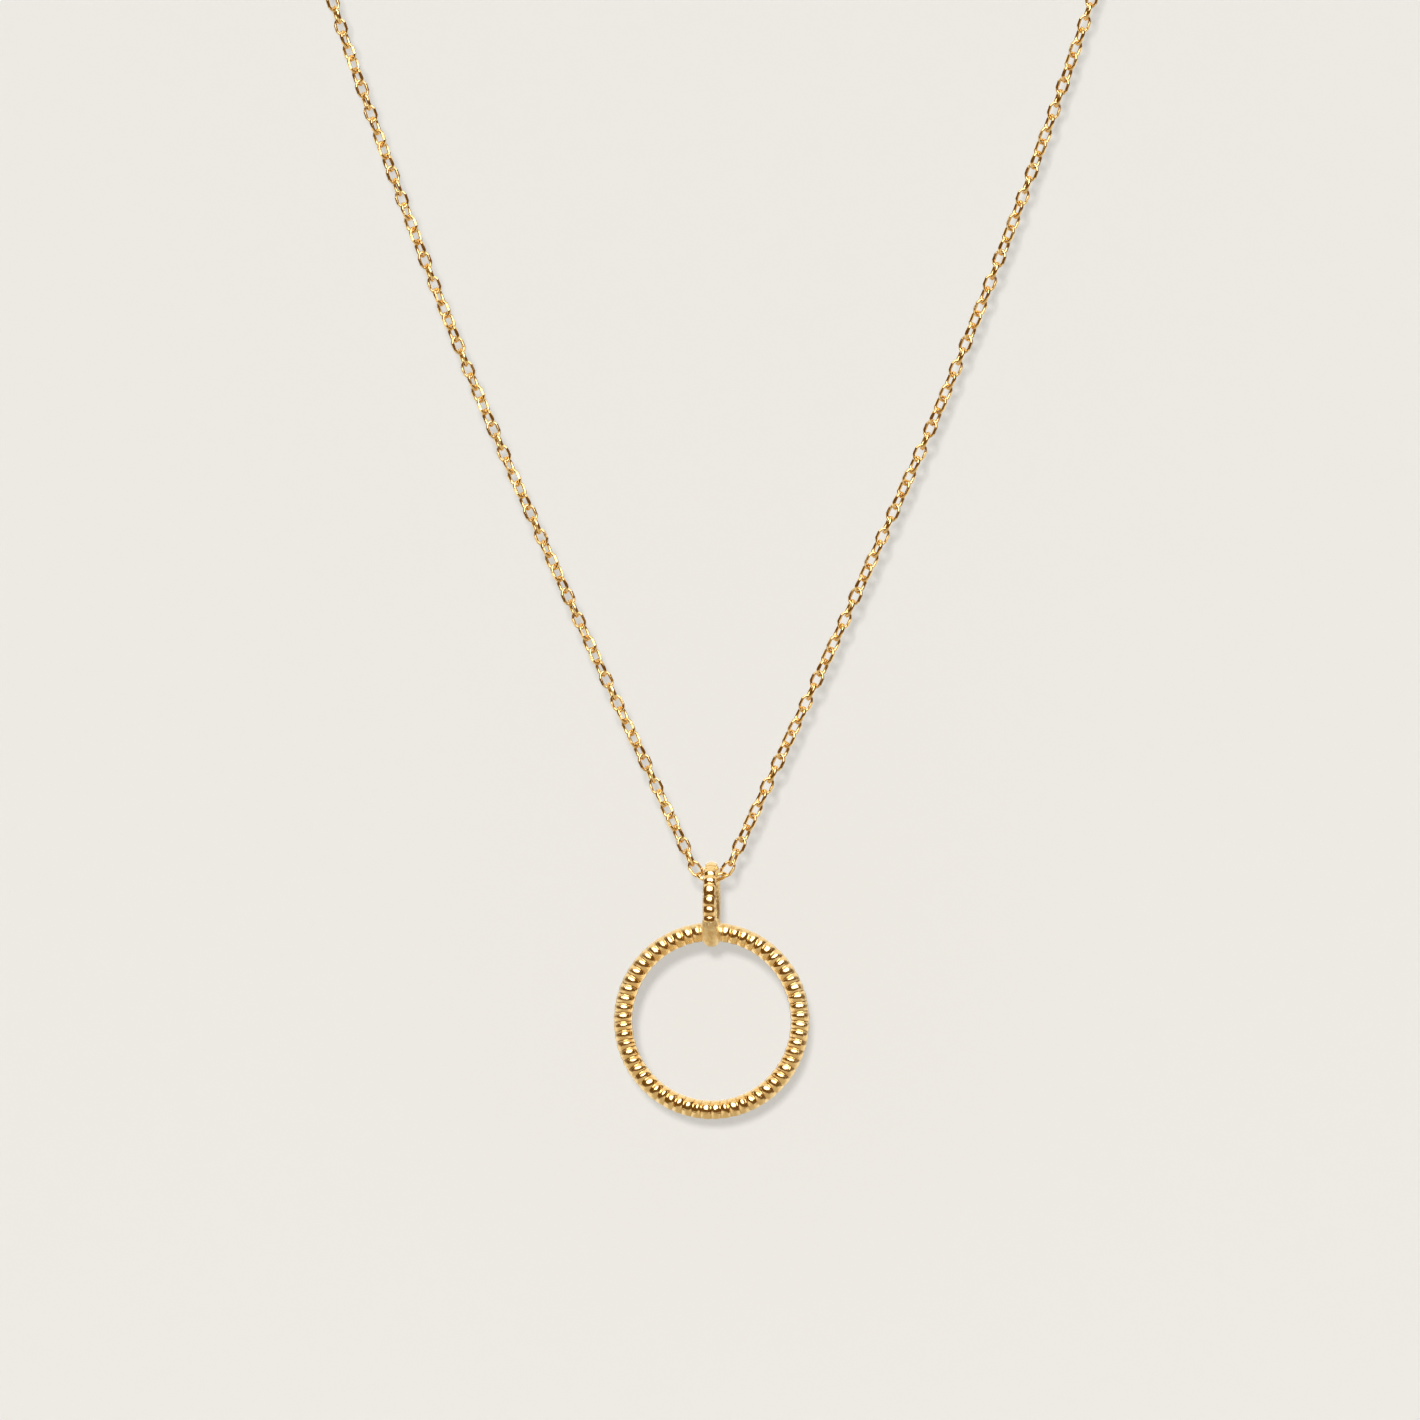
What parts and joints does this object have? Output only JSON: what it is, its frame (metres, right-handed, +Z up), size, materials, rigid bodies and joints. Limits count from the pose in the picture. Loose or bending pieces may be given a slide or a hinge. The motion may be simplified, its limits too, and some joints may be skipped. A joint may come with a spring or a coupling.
{
  "type": "circle necklace",
  "caption": "Fine cable chain necklace with a beaded open circle hanging from a soldered beaded bail, closed by a spring ring clasp.",
  "frame": {"origin": "middle of the closed clasp at the nape, the highest place of the hanging chain", "axes": "+Z up, against the hang; +Y from the front of the pendant to its back, across the plane of the loop; +X across the loop"},
  "size_m": [0.0942, 0.005, 0.2148],
  "materials": {
    "chain_gold": "polished yellow gold plating",
    "pendant_gold": "polished yellow gold plating over cast beads",
    "clasp_gold": "polished yellow gold plating"
  },
  "bodies": {
    "loop": {"chain": "chain_gold", "clasp": "clasp_gold", "end_ring": "clasp_gold"},
    "pendant": {"pendant": "pendant_gold"}
  },
  "joints": [
    {"name": "pendant_swing", "type": "hinge", "parent": "loop", "child": "pendant", "pos_m": [0, 0, -0.19], "axis": [1, 0, 0], "range_deg": [-90, 90]}
  ]
}
